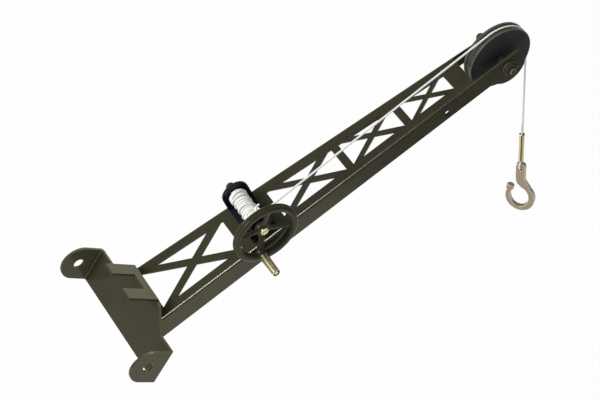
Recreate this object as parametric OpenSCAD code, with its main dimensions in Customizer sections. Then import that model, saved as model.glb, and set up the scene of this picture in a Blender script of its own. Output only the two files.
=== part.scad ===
// Jib of a small model crane: a folded lattice channel on a base bracket that hinges
// on two ears, a hand winch with its cord, a sheave at the tip, and a hook.
// Jib frame: x runs up the jib from the plate, z stands on the web, y is the sheave axis.

/* [Jib] */
// Distance from the base plate to the sheave axle, along the web
jib_len = 240; // [225:1:300]
// Width of the web at the base plate
base_w = 38.5; // [36:0.5:46]
// Width of the web at the sheave axle
tip_w = 22; // [20:0.5:26]
// Sheet thickness of the jib
jib_t = 1.4; // [1:0.1:2]
// Height of the near flange at the base plate
flange_h = 14; // [13:0.2:18]
// Height of the near flange at the sheave axle
flange_tip_h = 11.4; // [10:0.2:13]
// Height of the far flange at the base plate
far_flange_h = 7.6; // [7:0.2:10]
// Height of the far flange at the sheave axle
far_flange_tip_h = 9.8; // [9.8:0.2:12]
// Rise of the jib over the horizontal, as it stands here
jib_rise = 15; // [0:1:40]
// Width of the web left beside each lattice cell
margin = 5.6; // [3.5:0.1:6.2]
// Width of a lattice bar, as a share of its cell's length
bar_share = 0.155; // [0.1:0.005:0.2]
// Distance of the sheave axle below the top of the web
axle_drop = 7; // [6:0.2:7.4]
// Radius of the rounded cheeks around the sheave axle
cheek_r = 11.4; // [8:0.2:13]
// Clear gap between the end of the web and the sheave
web_gap = 2.6; // [1:0.1:5]
// Length of the first lattice cell's start from the plate
first_cell = 12.5; // [8:0.5:20]
// Length of the plain web that the winch sits on
seat_len = 28.4; // [24:0.2:34]
// Length of the plain web at the tip
tip_solid = 10.6; // [6:0.2:16]
// Width of the web between two cells
cross_w = 4.7; // [3:0.1:8]
// Each cell's length as a share of the one before it, past the winch
cell_ratio = 0.83; // [0.7:0.01:1]
// Inside radius of the folds
fold_r = 0.5; // [0.2:0.1:0.8]
// Bore of the stay holes through both flanges
stay_d = 3.2; // [2:0.1:3.4]
// Distance of the stay holes from the sheave axle
stay_back = 42; // [34:1:46]

/* [Base bracket] */
// Width of the plate over both ears
plate_w = 83; // [80:1:100]
// Sheet thickness of the bracket
plate_t = 1.5; // [1:0.1:2.5]
// Angle between the plate and the web
plate_lean = 36; // [30:1:50]
// Height of the plate at its ears
ear_h = 21.2; // [18:0.2:26]
// How far the plate rises at the ears above the web's end
ear_rise = 3.4; // [2:0.2:5]
// Distance of the pivot hole from the plate
ear_reach = 10.2; // [9:0.2:16]
// Diameter of the pivot hole
pivot_d = 6; // [4:0.1:8]
// Height of the raised middle above the web's end
crown_rise = 16; // [12:0.5:20]
// Width of the raised middle at its top
crown_w = 27.4; // [20:0.2:30]
// Width of the raised middle at its foot
crown_foot_w = 57.4; // [45:0.2:62]
// Depth of the folded lip
lip_depth = 19.8; // [12:0.2:26]
// Width of the notch in the lip
notch_w = 11.5; // [6:0.5:16]
// Depth of the notch in the lip
notch_depth = 15; // [8:0.5:16]

/* [Winch] */
// Distance of the winch axle from the base plate, along the web
winch_x = 79; // [76:0.5:84]
// Height of the winch axle above the web
winch_z = 11; // [10:0.2:14]
// Width of the winch bracket over its ears
winch_w = 27; // [24:0.2:29]
// Length of the winch bracket along the jib
winch_len = 15.8; // [13:0.2:18]
// Sheet thickness of the winch bracket
winch_t = 1.2; // [0.8:0.1:1.6]
// Diameter of the winch axle
winch_axle_d = 4; // [3:0.1:5]
// Diameter of the round cap at the far end of the axle
cap_d = 5.4; // [4.8:0.1:7]

/* [Handwheel] */
// Outside diameter of the handwheel
wheel_d = 38.6; // [34:0.2:44]
// Width of the wheel rim along its axle
rim_w = 4; // [3:0.1:5]
// Radial thickness of the wheel rim
rim_t = 4; // [3:0.1:5]
// Depth of the groove in the wheel rim
rim_groove = 0.9; // [0.4:0.1:1.6]
// Number of spokes
spokes = 4; // [4:1:6]
// Width of a spoke
spoke_w = 3.6; // [2.5:0.1:5]
// Clear gap between the flange and the wheel
wheel_gap = 0.6; // [0.6:0.1:3]
// Distance of the handle from the wheel axis
handle_throw = 15.2; // [13:0.1:16]
// Length of the handle sleeve
handle_len = 14; // [10:0.5:24]
// Diameter of the handle sleeve
handle_d = 4.8; // [4:0.1:6]

/* [Sheave] */
// Outside diameter of the sheave
sheave_d = 39.6; // [34:0.2:44]
// Width of the sheave
sheave_w = 7; // [6:0.2:10]
// Depth of the cord groove
groove_depth = 1.4; // [1:0.1:3]
// Diameter of the sheave bolt
bolt_d = 4; // [3:0.1:5]
// Width of the sheave nut over its flats
nut_af = 7; // [6:0.1:8]
// Thickness of the sheave nut
nut_t = 2.6; // [2:0.1:4]

/* [Cord and hook] */
// Diameter of the cord
cord_d = 1.2; // [0.8:0.05:1.25]
// Turns of cord in the outer layer on the drum
turns = 12; // [8:1:12]
// Length of cord that hangs from the sheave to the ferrule
hang_len = 77; // [60:1:140]
// Length of the crimped ferrule
ferrule_len = 23.5; // [16:0.5:34]
// Outside diameter of the ferrule
ferrule_d = 3.3; // [3.2:0.1:4.5]
// Thickness of the hook plate
hook_t = 2.8; // [2:0.1:3.4]
// Turn of the hook about the cord, seen from above
hook_turn = -51; // [-90:1:0]
// Length of the cord's loose end above the ferrule
tail_len = 9; // [2:0.5:16]

/* [Hidden] */
$fn = 64;
eps = 0.01;
// Radial clearance of a turning fit, and the side play of turning pieces
run_gap = 0.05;
side_gap = 0.25;
// Gap between pieces that face each other across a joint
air = 0.35;

dark = [0.16, 0.155, 0.125];
brass = [0.78, 0.69, 0.42];
white = [0.93, 0.93, 0.9];
steel = [0.62, 0.58, 0.5];

sheave_r = sheave_d / 2;
wheel_r = wheel_d / 2;
cord_r = cord_d / 2;
// Half the web's width at a distance up the jib
function half_w(x) = (base_w + (tip_w - base_w) * x / jib_len) / 2;
// Where the web ends, clear of the sheave
web_end = jib_len - sqrt(sheave_r * sheave_r - axle_drop * axle_drop) - web_gap;
tip_x = jib_len + sqrt(cheek_r * cheek_r - axle_drop * axle_drop);
// Lattice cells: one behind the winch, and three that shorten towards the tip
run_start = winch_x + seat_len / 2;
cell_2 = (web_end - tip_solid - run_start - 2 * cross_w) / (1 + cell_ratio + cell_ratio * cell_ratio);
start_3 = run_start + cell_2 + cross_w;
start_4 = start_3 + cell_2 * cell_ratio + cross_w;
cells = [[first_cell, winch_x - seat_len / 2], [run_start, run_start + cell_2],
  [start_3, start_3 + cell_2 * cell_ratio], [start_4, web_end - tip_solid]];
// The turn of each fold line off the jib's middle
taper = atan((base_w - tip_w) / 2 / jib_len);
// The pivot axis in the jib frame
lean_c = cos(plate_lean);
lean_s = sin(plate_lean);
ear_mid = ear_rise - ear_h / 2;
pivot_x = ear_mid * lean_c - ear_reach * lean_s;
pivot_z = ear_mid * lean_s + ear_reach * lean_c;

// Moves a child from the jib frame to the part's frame, whose origin is on the pivot axis
module in_frame() {
  rotate([0, -jib_rise, 0]) translate([-pivot_x, 0, -pivot_z]) children();
}
// A point of the jib frame in the part's frame
function framed(p) = let (x = p[0] - pivot_x, z = p[2] - pivot_z)
  [x * cos(jib_rise) - z * sin(jib_rise), p[1], x * sin(jib_rise) + z * cos(jib_rise)];

// A cylinder along y, from one y to another
module y_cyl(r, y0, y1) {
  translate([0, y0, 0]) rotate([-90, 0, 0]) cylinder(r = r, h = y1 - y0);
}
// A drawn outline in x and z, given thickness along y
module y_slab(y0, y1) {
  translate([0, y1, 0]) rotate([90, 0, 0]) linear_extrude(y1 - y0) children();
}
// A ring along y
module y_ring(r_out, r_in, y0, y1) {
  difference() {
    y_cyl(r_out, y0, y1);
    y_cyl(r_in, y0 - 1, y1 + 1);
  }
}
// A folded sheet's section at the origin: a wall down z, a bend, and a strip out to w
module bend_section(w, h, t, turn_r) {
  out_r = turn_r + t;
  translate([0, -h]) square([t, h - out_r]);
  translate([out_r, -t]) square([w - out_r, t]);
  intersection() {
    translate([out_r, -out_r]) difference() {
      circle(r = out_r);
      circle(r = turn_r);
    }
    translate([0, -out_r]) square([out_r, out_r]);
  }
}
// A hexagon prism along y
module y_hex(af, y0, y1) {
  translate([0, y0, 0]) rotate([-90, 0, 0]) cylinder(r = af / sqrt(3), h = y1 - y0, $fn = 6);
}

// A tube swept along points, with flat ends square to its first and last steps
function unit(v) = v / norm(v);
function path_dir(p, i) =
  i == 0 ? unit(p[1] - p[0]) :
  i == len(p) - 1 ? unit(p[i] - p[i - 1]) : unit(unit(p[i + 1] - p[i]) + unit(p[i] - p[i - 1]));
function side_of(d, up) = unit(cross(d, up));
module tube(p, r, sides, up) {
  n = len(p);
  rings = [for (i = [0:n - 1]) let (d = path_dir(p, i), a = side_of(d, up), b = cross(a, d))
    for (k = [0:sides - 1]) let (t = 360 * (k + 0.5) / sides)
      p[i] + r * (cos(t) * a + sin(t) * b)];
  walls = [for (i = [0:n - 2]) for (k = [0:sides - 1]) let (j = (k + 1) % sides)
    for (f = [[i * sides + k, i * sides + j, (i + 1) * sides + j],
              [i * sides + k, (i + 1) * sides + j, (i + 1) * sides + k]]) f];
  first = [for (k = [1:sides - 2]) [0, k + 1, k]];
  last = [for (k = [1:sides - 2]) [(n - 1) * sides, (n - 1) * sides + k, (n - 1) * sides + k + 1]];
  polyhedron(points = rings, faces = concat(walls, first, last));
}

// Jib channel

// Where two lines meet, each given by two points
function meet(a, b, c, d) = let (u = b - a, v = d - c, w = c - a,
  k = (w[0] * v[1] - w[1] * v[0]) / (u[0] * v[1] - u[1] * v[0])) a + k * u;
// The four openings of one lattice cell, between its margins and its two crossing bars
function openings(x0, x1) = let (
  off = bar_share * (x1 - x0), e = function(x) half_w(x) - margin,
  a = [x0, e(x0)], b = [x0 + off, e(x0 + off)], c = [x1 - off, e(x1 - off)], d = [x1, e(x1)],
  flip = function(p) [p[0], -p[1]],
  left = meet(a, flip(c), flip(a), c), right = meet(b, flip(d), flip(b), d),
  top = meet(b, flip(d), flip(a), c))
  [[a, left, flip(a)], [d, flip(d), right], [b, c, top], [flip(b), flip(top), flip(c)]];
module cell_cut(x0, x1) {
  for (o = openings(x0, x1)) linear_extrude(4 * jib_t) polygon(o);
}
// The side view of a flange, with the rounded cheek at the tip
module flange_outline(h0, h1) {
  difference() {
    union() {
      polygon([[-back, 0], [-back, -h0 - (h0 - h1) * back / jib_len], [jib_len, -h1], [jib_len, 0]]);
      translate([jib_len, -axle_drop]) circle(r = cheek_r);
    }
    translate([jib_len - 2 * cheek_r, 0]) square([4 * cheek_r, 2 * cheek_r]);
  }
}
back = 2 * flange_h;
strip_w = margin - 1;
// One flange with its bend and the edge of the web, drawn for the +y side
module side_angle(h0, h1) {
  translate([0, half_w(0), 0]) rotate([0, 0, -taper]) difference() {
    intersection() {
      translate([-back, 0, 0]) rotate([90, 0, 90]) linear_extrude(back + jib_len + 2 * cheek_r)
        mirror([1, 0]) bend_section(strip_w, axle_drop + cheek_r + 1, jib_t, fold_r);
      y_slab(-2 * strip_w, 1) flange_outline(h0, h1);
    }
    translate([web_end, -2 * strip_w, -2 * jib_t]) cube([jib_len, 2 * strip_w - jib_t, 4 * jib_t]);
  }
}
module jib_solid() {
  difference() {
    union() {
      side_angle(far_flange_h, far_flange_tip_h);
      mirror([0, 1, 0]) side_angle(flange_h, flange_tip_h);
      // The web between the two folds, cut short of the sheave
      translate([0, 0, -jib_t]) linear_extrude(jib_t) polygon([
        for (s = [-1, 1]) for (x = s < 0 ? [-back / 2, web_end] : [web_end, -back / 2])
          [x, s * (half_w(x) - strip_w + 0.5)]]);
    }
    translate([0, 0, -2 * jib_t]) for (c = cells) cell_cut(c[0], c[1]);
    // The base end, cut to the lean of the plate and in line with its bottom edge
    leaned() translate([-2 * back, -base_w, -plate_t - eps]) cube([4 * back, 2 * base_w, 2 * back]);
    leaned() translate([ear_low + 1 - back, -base_w, -2 * back]) cube([back, 2 * base_w, 4 * back]);
    // The axle hole through both cheeks, and the stay holes
    translate([jib_len, 0, -axle_drop]) y_cyl(bolt_d / 2 + eps, -base_w, base_w);
    translate([jib_len - stay_back, 0, -axle_drop]) y_cyl(stay_d / 2, -base_w, base_w);
    rivet_places() cylinder(r = rivet_r + eps, h = 4 * jib_t, center = true);
  }
}
module jib_channel() { color(dark) in_frame() jib_solid(); }

// Base bracket, drawn with its plate in x and y, then leaned
module leaned() { rotate([0, -plate_lean, 0]) children(); }
ear_low = ear_rise - ear_h;
plate_bend = fold_r + plate_t;
module plate_outline() {
  flat = plate_w / 2 - plate_bend;
  polygon([[ear_low, -flat], [ear_rise, -flat], [ear_rise, -crown_foot_w / 2],
    [crown_rise - plate_bend, -crown_side(crown_rise - plate_bend)],
    [crown_rise - plate_bend, crown_side(crown_rise - plate_bend)],
    [ear_rise, crown_foot_w / 2], [ear_rise, flat], [ear_low, flat]]);
}
// Half the width of the raised middle at a height on the plate
function crown_side(h) = crown_foot_w / 2 + (crown_w - crown_foot_w) / 2 * (h - ear_rise) / (crown_rise - ear_rise);
module ear_outline() {
  translate([ear_low, -plate_t]) square([ear_h, ear_reach + plate_t]);
  translate([ear_mid, ear_reach]) circle(r = ear_h / 2);
}
// One ear with its bend, for the +y side
module ear() {
  intersection() {
    translate([ear_low - 1, plate_w / 2, 0]) rotate([90, 0, 90]) linear_extrude(ear_h + 2)
      rotate(180) translate([0, plate_t]) bend_section(2 * plate_bend, 4 * ear_h, plate_t, fold_r);
    y_slab(-plate_w, plate_w) ear_outline();
  }
}
// The folded lip with its bend and its notch
module lip() {
  difference() {
    translate([crown_rise, -crown_w / 2, -plate_t]) rotate([0, -90, -90]) linear_extrude(crown_w)
      bend_section(plate_t + lip_depth, plate_bend + 0.5, plate_t, fold_r);
    translate([crown_rise - 2 * plate_t, -notch_w / 2, lip_depth - notch_depth])
      cube([3 * plate_t, notch_w, notch_depth + 1]);
  }
}
module base_bracket() {
  color(dark) in_frame() leaned() difference() {
    union() {
      translate([0, 0, -plate_t]) linear_extrude(plate_t) plate_outline();
      ear();
      mirror([0, 1, 0]) ear();
      lip();
    }
    translate([ear_mid, 0, ear_reach]) y_cyl(pivot_d / 2, -plate_w, plate_w);
  }
}
// Weld beads that hold the channel's flanges to the plate, inside the channel
bead = 1.4;
// The beads stop clear of the web and of the bends
bead_stop = (jib_t + fold_r + 0.3) / sin(plate_lean);
module base_weld() {
  color(dark) in_frame() leaned() for (s = [-1, 1]) {
    bead_low = s < 0 ? ear_low + 2 : 1 - far_flange_h / sin(plate_lean);
    inner = half_w(bead_low * cos(plate_lean)) - jib_t - 0.15;
    translate([bead_low, s * inner, -plate_t - 0.04]) rotate([0, 0, -s * taper * cos(plate_lean)])
      rotate([90, 0, 90]) linear_extrude(-bead_low - bead_stop) polygon([[0, 0], [-s * bead, 0], [0, -bead]]);
  }
}

// Winch bracket: a strip on the web with two ears folded up
rivet_r = 1;
rivet_pitch = winch_w / 2;
module rivet_places() {
  for (s = [-1, 1]) translate([winch_x, s * rivet_pitch / 2, 0]) children();
}
winch_bend = fold_r + winch_t;
ear_top_r = winch_len / 2;
module winch_ear() {
  intersection() {
    translate([-winch_len, winch_w / 2, 0]) rotate([90, 0, 90]) linear_extrude(2 * winch_len)
      rotate(180) bend_section(2 * winch_bend, 4 * winch_z, winch_t, fold_r);
    y_slab(-winch_w, winch_w) union() {
      translate([-ear_top_r, 0]) square([winch_len, winch_z]);
      translate([0, winch_z]) circle(r = ear_top_r);
    }
  }
}
module winch_bracket() {
  color(dark) in_frame() difference() {
    translate([winch_x, 0, eps]) union() {
      winch_ear();
      mirror([0, 1, 0]) winch_ear();
      translate([-ear_top_r, -winch_w / 2 + winch_bend, 0])
        cube([winch_len, winch_w - 2 * winch_bend, winch_t]);
    }
    translate([winch_x, 0, winch_z]) y_cyl(winch_axle_d / 2 + run_gap, -winch_w, winch_w);
    rivet_places() cylinder(r = rivet_r + eps, h = 4 * jib_t, center = true);
  }
}
// Two rivets through the strip and the web, with a flat head below
module winch_rivets() {
  head_r = 1.9;
  head_h = 0.8;
  color(dark) in_frame() rivet_places() {
    translate([0, 0, -jib_t - eps - head_h]) cylinder(r = head_r, h = head_h);
    translate([0, 0, -jib_t - eps - head_h / 2]) cylinder(r = rivet_r, h = jib_t + winch_t + head_h);
    translate([0, 0, winch_t + 2 * eps]) cylinder(r1 = head_r, r2 = head_r * 0.6, h = head_h);
  }
}

// Winch axle and what turns with it, placed from the axle's middle
module at_winch() { in_frame() translate([winch_x, 0, winch_z]) children(); }
wheel_y = -(half_w(winch_x - wheel_d / 2) + wheel_gap);
hub_r = 4.4;
hub_out = wheel_y;
hub_in = wheel_y + 2.6;
cap_y = winch_w / 2 + side_gap + 0.6 + side_gap / 2;
cap_len = 3.2;
axle_r = winch_axle_d / 2;
module winch_axle() {
  color(steel) at_winch() difference() {
    y_cyl(axle_r, hub_out + eps, cap_y + cap_len - 1 - eps);
    // The screw's hole in the near end
    y_cyl(screw_r + eps, hub_out - 1, hub_out + screw_len + 0.3);
  }
}
// A cap with a domed end and a blind bore, along y
module domed_cap(r, bore_r, y0, len) {
  translate([0, y0, 0]) rotate([-90, 0, 0]) rotate_extrude() polygon(concat(
    [[bore_r, len - 1], [bore_r, 0], [r, 0], [r, len]],
    [for (a = [15:15:75]) [r * cos(a), len + r * sin(a)]], [[0, len + r], [0, len - 1]]));
}
module axle_cap() { color(dark) at_winch() domed_cap(cap_d / 2, axle_r + eps, cap_y, cap_len); }
module cap_washer() {
  color(dark) at_winch()
    y_ring(axle_r + 1.3, axle_r + eps, winch_w / 2 + side_gap, winch_w / 2 + side_gap + 0.6);
}
module axle_bush() {
  color(dark) at_winch() y_ring(axle_r + 1.2, axle_r + eps, hub_in + eps, -winch_w / 2 - side_gap);
}

// Handwheel: a grooved rim, spokes that reach out to it from the hub, and the handle's boss
module rim_section() {
  c = 0.6;
  inner = wheel_r - rim_t;
  polygon([[inner, c], [inner + c, 0], [wheel_r - c, 0], [wheel_r, c],
    [wheel_r, rim_w * 0.3], [wheel_r - rim_groove, rim_w * 0.5], [wheel_r, rim_w * 0.7],
    [wheel_r, rim_w - c], [wheel_r - c, rim_w], [inner + c, rim_w], [inner, rim_w - c]]);
}
boss_r = 2.7;
handle_dir = 240;
module at_handle() {
  rotate([0, -handle_dir, 0]) translate([handle_throw, 0, 0]) children();
}
module handwheel() {
  spoke_t = 1.8;
  reach = wheel_r - rim_t / 2;
  color(dark) at_winch() difference() {
    union() {
      translate([0, wheel_y, 0]) rotate([90, 0, 0]) rotate_extrude() rim_section();
      y_cyl(hub_r, hub_out, hub_in);
      for (i = [0:spokes - 1]) rotate([0, -handle_dir - 360 * i / spokes, 0])
        translate([0, hub_in - 0.1, 0]) rotate([0, 0, -spoke_tilt])
          translate([3, -spoke_t, -spoke_w / 2]) cube([reach - 3, spoke_t, spoke_w]);
      at_handle() rotate([0, 37, 0]) y_cyl(boss_r, wheel_y - rim_w + 0.3, wheel_y - 0.4);
    }
    y_cyl(axle_r + eps, wheel_y - 2 * rim_w, hub_in + 1);
    at_handle() y_cyl(pin_r + eps, wheel_y - 2 * rim_w, wheel_y + 1);
  }
}
spoke_tilt = 11;
// Brass screw with a slotted head that holds the wheel on its axle
screw_r = 1.2;
screw_len = 5;
module wheel_screw() {
  head_r = 2.35;
  head_h = 1.3;
  color(brass) at_winch() difference() {
    union() {
      y_cyl(head_r, hub_out - head_h, hub_out - eps);
      y_cyl(screw_r, hub_out - head_h / 2, hub_out + screw_len);
    }
    translate([-head_r - 1, hub_out - head_h - 1, -0.35]) cube([2 * head_r + 2, 1.6, 0.7]);
  }
}
// Handle: a pin fixed in the boss, and a brass sleeve that turns on it
pin_r = 1.2;
pin_head_r = 1.65;
pin_head_h = 0.8;
sleeve_y = wheel_y - rim_w - side_gap;
recess = 1.4;
module handle_pin() {
  color(steel) at_winch() at_handle() {
    y_cyl(pin_r, sleeve_y - handle_len + pin_head_h, wheel_y - 1);
    y_cyl(pin_head_r, sleeve_y - handle_len + 0.3, sleeve_y - handle_len + 0.3 + pin_head_h);
  }
}
module handle_sleeve() {
  r = handle_d / 2;
  c = 0.4;
  color(brass) at_winch() at_handle() translate([0, sleeve_y, 0]) rotate([90, 0, 0])
    rotate_extrude() polygon([[pin_r + run_gap, 0], [r - c, 0], [r, c], [r, handle_len - c],
      [r - c, handle_len], [pin_head_r + 2 * run_gap, handle_len],
      [pin_head_r + 2 * run_gap, handle_len - recess], [pin_r + run_gap, handle_len - recess]]);
}

// Cord on the drum: inner layers as one plain core, and the outer layer wound over it
wound_w = winch_w - 2 * winch_t - 2 * air - cord_d;
core_far = axle_r + 0.9;
core_near = axle_r + 1.5;
// Radius of the cord's middle at a place along the drum
function wound_r(y) = core_far + (core_near - core_far) * (wound_w / 2 - y) / wound_w + cord_r + 0.04;
module cord_core() {
  color(white) at_winch() rotate([90, 0, 0]) rotate_extrude() polygon([
    [axle_r + 0.03, -wound_w / 2 - cord_r], [core_far, -wound_w / 2 - cord_r],
    [core_near, wound_w / 2 + cord_r], [axle_r + 0.03, wound_w / 2 + cord_r]]);
}
// The last turn, which leads off to the sheave, lies beside the wound layer
turn_room = cord_d + 0.5;
outer_w = wound_w - turn_room;
wound_turns = min(turns, floor(outer_w / (cord_d + 0.45)));
turn_steps = 24;
wind_end = 120;
winding = [for (i = [0:wound_turns * turn_steps]) let (
  y = wound_w / 2 - outer_w * i / (wound_turns * turn_steps), a = wind_end - 360 * i / turn_steps)
  [wound_r(y) * cos(a), y, wound_r(y) * sin(a)]];
// Straight ends, one cord diameter long
function led_out(p) = concat([p[0] + cord_d * unit(p[0] - p[1])], p,
  [p[len(p) - 1] + cord_d * unit(p[len(p) - 1] - p[len(p) - 2])]);
module cord_winding() {
  color(white) at_winch() tube(led_out(winding), cord_r, 6, [0, 1, 0]);
}
pitch = outer_w / wound_turns;
echo(least_gap_of_winding = pitch * cos(atan(pitch / (2 * PI * wound_r(0)))) - cord_d);

// The run of the cord: the last turn round the core, the straight pull, and the sheave
lead_y = -wound_w / 2;
lead_r = core_near + air + cord_r;
over_r = sheave_r - groove_depth + cord_r + air;
gap_x = jib_len - winch_x;
gap_z = -axle_drop - winch_z;
pull_dir = atan2(gap_z, gap_x) + asin((over_r - lead_r) / norm([gap_x, gap_z]));
function round_drum(a) = [winch_x + lead_r * cos(a), lead_y, winch_z + lead_r * sin(a)];
function over_sheave(a) = [jib_len + over_r * cos(a), 0, -axle_drop + over_r * sin(a)];
pull_from = round_drum(90 + pull_dir);
pull_to = over_sheave(90 + pull_dir);
wrap = 200;
pull_steps = 34;
over_steps = 14;
cord_route = concat(
  [for (i = [0:11]) round_drum(90 + pull_dir + wrap * (1 - i / 12))],
  [for (i = [0:pull_steps]) pull_from + (pull_to - pull_from) * i / pull_steps],
  [for (i = [1:over_steps]) over_sheave(90 + pull_dir - (90 + pull_dir + jib_rise) * i / over_steps)]);
module cord_run() {
  color(white) in_frame() tube(cord_route, cord_r, 8, [0, 1, 0]);
}

// The hanging cord, straight down from the side of the sheave
sheave_at = framed([jib_len, 0, -axle_drop]);
hang_top = [sheave_at[0] + over_r, 0, sheave_at[2] - 0.05];
module cord_hanging() {
  steps = 20;
  color(white) tube([for (i = [0:steps]) hang_top - [0, 0, (hang_len - 0.1) * i / steps]],
    cord_r, 8, [0, 1, 0]);
}
// What hangs on the cord, placed below the ferrule's top, with x across the hook's face
leg = cord_r + 0.08;
module at_ferrule() {
  translate([hang_top[0], 0, sheave_at[2] - hang_len]) rotate([0, 0, hook_turn])
    translate([0, -leg, 0]) children();
}
module ferrule() {
  color(brass) at_ferrule() translate([0, 0, -ferrule_len]) difference() {
    cylinder(r = ferrule_d / 2, h = ferrule_len);
    translate([0, 0, -1]) cylinder(r = leg + cord_r + 0.04, h = ferrule_len + 2);
  }
}
// The loop of cord through the hook's eye, and the loose end above the ferrule
eye_wall = 3.2;
loop_r = norm([hook_t / 2, eye_wall / 2]) + cord_r + 0.15;
loop_drop = 1.25 * loop_r;
leg_turn = atan(leg / loop_drop) + acos(loop_r / norm([leg, loop_drop]));
loop_steps = 16;
loop_path = concat(
  [for (z = [tail_len, tail_len / 2, 0, -ferrule_len / 2, -ferrule_len]) [0, -leg, z]],
  [for (i = [0:loop_steps]) let (a = leg_turn + (360 - 2 * leg_turn) * i / loop_steps)
    [0, -loop_r * sin(a), loop_r * cos(a) - ferrule_len - loop_drop]],
  [for (z = [-ferrule_len, -ferrule_len / 2, -0.05]) [0, leg, z]]);
module cord_loop() {
  color(white) at_ferrule() tube(loop_path, cord_r, 8, [1, 0, 0]);
}

// Hook: a flat plate with a round-topped shank, an oval bowl and a bulb at the tip
function oval(cx, cy, a, b) = [for (i = [0:71]) [cx + a * cos(5 * i), cy + b * sin(5 * i)]];
eye_r = 1.6;
eye_x = 0.3;
shank_w = 5.8;
hook_top = eye_r + eye_wall;
shank_x = 0.6;
bowl_y = -26;
bulb = [-5.6, -18.9];
bulb_r = 2.35;
module hook_slab(t) { y_slab(-t / 2, t / 2) children(); }
module hook_shape() {
  difference() {
    union() {
      hook_slab(hook_t) polygon(oval(0.8, bowl_y, 9.1, 11.8));
      hook_slab(hook_t) polygon([[shank_x - shank_w / 2, hook_top - shank_w / 2],
        [shank_x + shank_w / 2, hook_top - shank_w / 2],
        [shank_x + shank_w / 2, -10.5], [6.8, -16.4], [5, -18], [shank_x - shank_w / 2, -18]]);
      translate([shank_x, 0, hook_top - shank_w / 2]) y_cyl(shank_w / 2, -hook_t / 2, hook_t / 2);
    }
    hook_slab(2 * hook_t) polygon(oval(0.4, bowl_y + 0.5, 5.7, 9.2));
    hook_slab(2 * hook_t) polygon([[-12, -8], [-2.3, -8], [-1.9, -11], [-1.2, -13.6], [1.2, -16],
      [1.2, -18], [-4, -20.2], [-12, -20.2]]);
    translate([eye_x, 0, 0]) y_cyl(eye_r, -hook_t, hook_t);
  }
  translate([bulb[0], 0, bulb[1]]) y_cyl(bulb_r, -hook_t / 2, hook_t / 2);
}
// Height of the eye's middle below the ferrule: its top wall sits inside the loop
eye_z = -ferrule_len - loop_drop - eye_wall / 2 - eye_r;
module hook() {
  color(steel) at_ferrule() translate([-eye_x, 0, eye_z]) hook_shape();
}

// Sheave and the bolt it turns on, placed from the bolt's middle
module at_sheave() { in_frame() translate([jib_len, 0, -axle_drop]) children(); }
module sheave() {
  w = sheave_w / 2;
  root = sheave_r - groove_depth;
  lip = 1.3;
  c = 0.3;
  color(dark) at_sheave() rotate([90, 0, 0]) rotate_extrude($fn = 128) polygon([
    [bolt_d / 2 + run_gap, -w], [sheave_r - c, -w], [sheave_r, c - w], [sheave_r, lip - w],
    [root, -cord_r - 0.5], [root, cord_r + 0.5], [sheave_r, w - lip], [sheave_r, w - c],
    [sheave_r - c, w], [bolt_d / 2 + run_gap, w]]);
}
cheek_y = half_w(jib_len);
washer_t = 0.6;
nut_y = cheek_y + washer_t + 0.3;
bolt_r = bolt_d / 2;
tip_cap_len = 3.8;
module sheave_bolt() {
  c = 0.5;
  color(steel) at_sheave() {
    y_cyl(bolt_r, -nut_y - nut_t - 0.8, nut_y + tip_cap_len - 1 - eps);
    translate([0, -nut_y - nut_t - 0.8, 0]) rotate([90, 0, 0]) cylinder(r1 = bolt_r, r2 = bolt_r - c, h = c);
  }
}
module sheave_cap() {
  color(dark) at_sheave() domed_cap(bolt_r + 0.7, bolt_r + eps, nut_y, tip_cap_len);
}
module sheave_nut() {
  color(dark) at_sheave() difference() {
    intersection() {
      y_hex(nut_af, -nut_y - nut_t, -nut_y);
      // The chamfered outer corners
      translate([0, -nut_y, 0]) rotate([90, 0, 0])
        cylinder(r1 = nut_af / 2 + nut_t, r2 = nut_af / 2, h = nut_t);
    }
    y_cyl(bolt_r + eps, -2 * nut_y, 0);
  }
}
module sheave_washers() {
  color(dark) at_sheave() for (s = [-1, 1])
    y_ring(nut_af / 2 + 0.6, bolt_r + eps, s > 0 ? cheek_y + 0.15 : -nut_y + eps,
      s > 0 ? nut_y - eps : -cheek_y - 0.15);
}
// Tubes that keep the sheave in the middle
module sheave_spacers() {
  color(dark) at_sheave() for (s = [-1, 1])
    mirror([0, s > 0 ? 0 : 1, 0])
      y_ring(bolt_r + 0.8, bolt_r + eps, sheave_w / 2 + side_gap, cheek_y - jib_t - 0.2);
}

jib_channel();
base_bracket();
base_weld();
winch_bracket();
winch_rivets();
winch_axle();
axle_cap();
cap_washer();
axle_bush();
handwheel();
wheel_screw();
handle_pin();
handle_sleeve();
cord_core();
cord_winding();
cord_run();
cord_hanging();
cord_loop();
ferrule();
hook();
sheave();
sheave_bolt();
sheave_cap();
sheave_nut();
sheave_washers();
sheave_spacers();
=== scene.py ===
"""Small crane jib in folded sheet: a lattice channel on a hinged base bracket,
a hand winch with its string, a sheave at the tip and a hook."""

import math

import bmesh
import bpy
from mathutils import Matrix, Vector


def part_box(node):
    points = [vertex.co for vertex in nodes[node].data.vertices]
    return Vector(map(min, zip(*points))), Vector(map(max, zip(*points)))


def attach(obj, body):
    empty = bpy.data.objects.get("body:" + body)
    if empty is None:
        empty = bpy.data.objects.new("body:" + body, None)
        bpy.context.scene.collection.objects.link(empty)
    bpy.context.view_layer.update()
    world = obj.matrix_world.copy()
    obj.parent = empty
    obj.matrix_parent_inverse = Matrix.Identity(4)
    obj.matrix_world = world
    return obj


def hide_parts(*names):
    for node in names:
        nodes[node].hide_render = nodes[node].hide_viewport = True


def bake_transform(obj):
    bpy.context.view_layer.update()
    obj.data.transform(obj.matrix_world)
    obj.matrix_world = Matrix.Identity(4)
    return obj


MM = 0.001

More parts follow.
